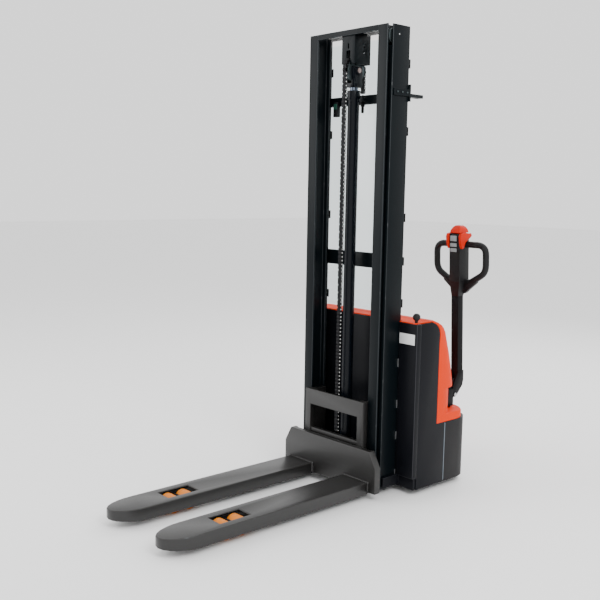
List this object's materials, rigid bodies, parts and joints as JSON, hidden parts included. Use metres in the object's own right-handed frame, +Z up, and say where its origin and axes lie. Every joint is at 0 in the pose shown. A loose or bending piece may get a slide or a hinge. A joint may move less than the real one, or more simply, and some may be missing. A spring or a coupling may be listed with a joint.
{
  "type": "walkie stacker",
  "caption": "Pedestrian electric stacker with a telescoping mast, lifting forks over straddle legs, and an offset tiller over the drive wheel.",
  "frame": {"origin": "on the floor, under the middle of the machine's box in plan", "axes": "+Z up, -Y the way the forks point, +X the side the tiller stands on"},
  "size_m": [0.86, 1.8446, 2.278],
  "materials": {
    "mast_paint": "semi-gloss",
    "fork_paint": "satin",
    "panel_paint": "satin",
    "orange_shell": "semi-gloss",
    "drive_shell": "matte",
    "black_metal": "satin",
    "grip_plastic": "fine grain",
    "red_plastic": "semi-gloss",
    "button_grey": "matte",
    "bright_steel": "machined",
    "chain_steel": "oiled",
    "chrome_rod": "polished",
    "wheel_tread": "polyurethane, satin",
    "rubber_tread": "matte",
    "clear_sheet": "clear, smooth",
    "battery_case": "matte"
  },
  "bodies": {
    "chassis": {"outer_mast_left": "mast_paint", "outer_mast_right": "mast_paint", "leg_left": "fork_paint", "leg_right": "fork_paint", "top_crossmember": "mast_paint", "middle_crossmember": "mast_paint", "lifting_bar": "mast_paint", "mast_shield": "clear_sheet", "lift_cylinder": "mast_paint", "chain_rear": "chain_steel", "chassis_base": "panel_paint", "front_panel": "panel_paint", "side_panel_left": "panel_paint", "side_panel_right": "panel_paint", "rear_cover": "orange_shell", "drive_cover": "drive_shell", "battery": "battery_case", "pump_unit": "black_metal"},
    "inner_mast": {"inner_mast_left": "mast_paint", "inner_mast_right": "mast_paint", "inner_top_beam": "mast_paint", "inner_bottom_beam": "mast_paint", "chain_guard": "mast_paint", "piston_rod": "chrome_rod", "chain_front": "chain_steel"},
    "carriage": {"carriage_plate": "fork_paint", "carriage_frame": "fork_paint", "fork_left": "fork_paint", "fork_right": "fork_paint", "roller_arm_left": "fork_paint", "roller_arm_right": "fork_paint"},
    "chain_wheel": {"chain_wheel": "bright_steel"},
    "carriage_roller_low_left": {"carriage_roller_low_left": "bright_steel"},
    "carriage_roller_low_right": {"carriage_roller_low_right": "bright_steel"},
    "carriage_roller_high_left": {"carriage_roller_high_left": "bright_steel"},
    "carriage_roller_high_right": {"carriage_roller_high_right": "bright_steel"},
    "upper_mast_roller_left": {"upper_mast_roller_left": "bright_steel"},
    "upper_mast_roller_right": {"upper_mast_roller_right": "bright_steel"},
    "lower_mast_roller_left": {"lower_mast_roller_left": "bright_steel"},
    "lower_mast_roller_right": {"lower_mast_roller_right": "bright_steel"},
    "bogie_left": {"bogie_left": "black_metal"},
    "bogie_right": {"bogie_right": "black_metal"},
    "front_load_wheel_left": {"front_load_wheel_left": "wheel_tread"},
    "front_load_wheel_right": {"front_load_wheel_right": "wheel_tread"},
    "rear_load_wheel_left": {"rear_load_wheel_left": "wheel_tread"},
    "rear_load_wheel_right": {"rear_load_wheel_right": "wheel_tread"},
    "steering": {"drive_unit": "black_metal", "tiller_base": "black_metal"},
    "drive_wheel": {"drive_wheel": "rubber_tread"},
    "castor_fork": {"castor_fork": "bright_steel"},
    "castor_wheel": {"castor_wheel": "rubber_tread"},
    "tiller": {"tiller_arm": "black_metal", "tiller_head": "grip_plastic"},
    "throttle": {"throttle": "red_plastic"},
    "belly_button": {"belly_button": "red_plastic"},
    "horn_button": {"horn_button": "button_grey"},
    "lift_button": {"lift_button": "button_grey"},
    "lower_button": {"lower_button": "button_grey"},
    "cover_knob": {"cover_knob": "grip_plastic"},
    "stop_button": {"stop_button": "red_plastic"}
  },
  "joints": [
    {"name": "mast_lift", "type": "slide", "parent": "chassis", "child": "inner_mast", "axis": [0, 0, 1], "range_m": [0, 1.75], "deforming": ["chain_rear"]},
    {"name": "carriage_lift", "type": "slide", "parent": "inner_mast", "child": "carriage", "axis": [0, 0, 1], "range_m": [0, 1.75], "deforming": ["chain_front"]},
    {"name": "chain_wheel_spin", "type": "hinge", "parent": "inner_mast", "child": "chain_wheel", "pos_m": [-0.03, 0.3527, 2.088], "axis": [1, 0, 0], "range_deg": [-1545, 0]},
    {"name": "carriage_roller_low_left_spin", "type": "hinge", "parent": "carriage", "child": "carriage_roller_low_left", "pos_m": [-0.2475, 0.3447, 0.15], "axis": [1, 0, 0], "range_deg": [-2712, 0]},
    {"name": "carriage_roller_low_right_spin", "type": "hinge", "parent": "carriage", "child": "carriage_roller_low_right", "pos_m": [0.1875, 0.3447, 0.15], "axis": [1, 0, 0], "range_deg": [-2712, 0]},
    {"name": "carriage_roller_high_left_spin", "type": "hinge", "parent": "carriage", "child": "carriage_roller_high_left", "pos_m": [-0.2475, 0.3447, 0.42], "axis": [1, 0, 0], "range_deg": [0, 2712]},
    {"name": "carriage_roller_high_right_spin", "type": "hinge", "parent": "carriage", "child": "carriage_roller_high_right", "pos_m": [0.1875, 0.3447, 0.42], "axis": [1, 0, 0], "range_deg": [0, 2712]},
    {"name": "upper_mast_roller_left_spin", "type": "hinge", "parent": "chassis", "child": "upper_mast_roller_left", "pos_m": [-0.2845, 0.3447, 2.225], "axis": [1, 0, 0], "range_deg": [0, 2712]},
    {"name": "upper_mast_roller_right_spin", "type": "hinge", "parent": "chassis", "child": "upper_mast_roller_right", "pos_m": [0.2245, 0.3447, 2.225], "axis": [1, 0, 0], "range_deg": [0, 2712]},
    {"name": "lower_mast_roller_left_spin", "type": "hinge", "parent": "inner_mast", "child": "lower_mast_roller_left", "pos_m": [-0.2855, 0.3797, 0.15], "axis": [1, 0, 0], "range_deg": [-2007, 0]},
    {"name": "lower_mast_roller_right_spin", "type": "hinge", "parent": "inner_mast", "child": "lower_mast_roller_right", "pos_m": [0.2255, 0.3797, 0.15], "axis": [1, 0, 0], "range_deg": [-2007, 0]},
    {"name": "bogie_tilt_left", "type": "hinge", "parent": "chassis", "child": "bogie_left", "pos_m": [-0.23, -0.5523, 0.064], "axis": [1, 0, 0], "range_deg": [-6, 6]},
    {"name": "bogie_tilt_right", "type": "hinge", "parent": "chassis", "child": "bogie_right", "pos_m": [0.17, -0.5523, 0.064], "axis": [1, 0, 0], "range_deg": [-6, 6]},
    {"name": "front_load_wheel_left_spin", "type": "hinge", "parent": "bogie_left", "child": "front_load_wheel_left", "pos_m": [-0.23, -0.5943, 0.04], "axis": [1, 0, 0], "continuous": true},
    {"name": "front_load_wheel_right_spin", "type": "hinge", "parent": "bogie_right", "child": "front_load_wheel_right", "pos_m": [0.17, -0.5943, 0.04], "axis": [1, 0, 0], "continuous": true},
    {"name": "rear_load_wheel_left_spin", "type": "hinge", "parent": "bogie_left", "child": "rear_load_wheel_left", "pos_m": [-0.23, -0.5103, 0.04], "axis": [1, 0, 0], "continuous": true},
    {"name": "rear_load_wheel_right_spin", "type": "hinge", "parent": "bogie_right", "child": "rear_load_wheel_right", "pos_m": [0.17, -0.5103, 0.04], "axis": [1, 0, 0], "continuous": true},
    {"name": "steer", "type": "hinge", "parent": "chassis", "child": "steering", "pos_m": [0.255, 0.7777, 0.25], "axis": [0, 0, 1], "range_deg": [-55, 55]},
    {"name": "drive_wheel_spin", "type": "hinge", "parent": "steering", "child": "drive_wheel", "pos_m": [0.255, 0.7777, 0.1], "axis": [1, 0, 0], "continuous": true},
    {"name": "castor_swivel", "type": "hinge", "parent": "chassis", "child": "castor_fork", "pos_m": [-0.315, 0.7777, 0.2], "axis": [0, 0, 1], "continuous": true},
    {"name": "castor_spin", "type": "hinge", "parent": "castor_fork", "child": "castor_wheel", "pos_m": [-0.315, 0.7437, 0.062], "axis": [1, 0, 0], "continuous": true},
    {"name": "tiller_tilt", "type": "hinge", "parent": "steering", "child": "tiller", "pos_m": [0.255, 0.8497, 0.443], "axis": [-1, 0, 0], "range_deg": [0, 75], "stiffness_Nm_per_rad": 30, "springref_deg": -28.65},
    {"name": "throttle_turn", "type": "hinge", "parent": "tiller", "child": "throttle", "pos_m": [0.255, 0.8638, 1.2651], "axis": [1, 0, 0], "range_deg": [-20, 20], "stiffness_Nm_per_rad": 0.5},
    {"name": "belly_press", "type": "slide", "parent": "tiller", "child": "belly_button", "axis": [0, 0.0558, -0.9984], "range_m": [0, 0.004], "stiffness_N_per_m": 900},
    {"name": "horn_press", "type": "slide", "parent": "tiller", "child": "horn_button", "axis": [0, 0.9984, 0.0558], "range_m": [0, 0.003], "stiffness_N_per_m": 300},
    {"name": "lift_press", "type": "slide", "parent": "tiller", "child": "lift_button", "axis": [0, 0.9984, 0.0558], "range_m": [0, 0.003], "stiffness_N_per_m": 300},
    {"name": "lower_press", "type": "slide", "parent": "tiller", "child": "lower_button", "axis": [0, 0.9984, 0.0558], "range_m": [0, 0.003], "stiffness_N_per_m": 300},
    {"name": "cover_knob_turn", "type": "hinge", "parent": "chassis", "child": "cover_knob", "pos_m": [0.348, 0.4417, 0.9], "axis": [0, 0, 1], "range_deg": [0, 90]},
    {"name": "stop_press", "type": "slide", "parent": "chassis", "child": "stop_button", "axis": [0, -1, 0], "range_m": [0, 0.005]}
  ],
  "couplings": [
    {"joint": "carriage_lift", "follows": "mast_lift", "ratio": 1},
    {"joint": "chain_wheel_spin", "follows": "mast_lift", "rad_per_m": -15.385},
    {"joint": "carriage_roller_low_left_spin", "follows": "mast_lift", "rad_per_m": -27.027},
    {"joint": "carriage_roller_low_right_spin", "follows": "mast_lift", "rad_per_m": -27.027},
    {"joint": "carriage_roller_high_left_spin", "follows": "mast_lift", "rad_per_m": 27.027},
    {"joint": "carriage_roller_high_right_spin", "follows": "mast_lift", "rad_per_m": 27.027},
    {"joint": "upper_mast_roller_left_spin", "follows": "mast_lift", "rad_per_m": 27.027},
    {"joint": "upper_mast_roller_right_spin", "follows": "mast_lift", "rad_per_m": 27.027},
    {"joint": "lower_mast_roller_left_spin", "follows": "mast_lift", "rad_per_m": -20},
    {"joint": "lower_mast_roller_right_spin", "follows": "mast_lift", "rad_per_m": -20}
  ]
}
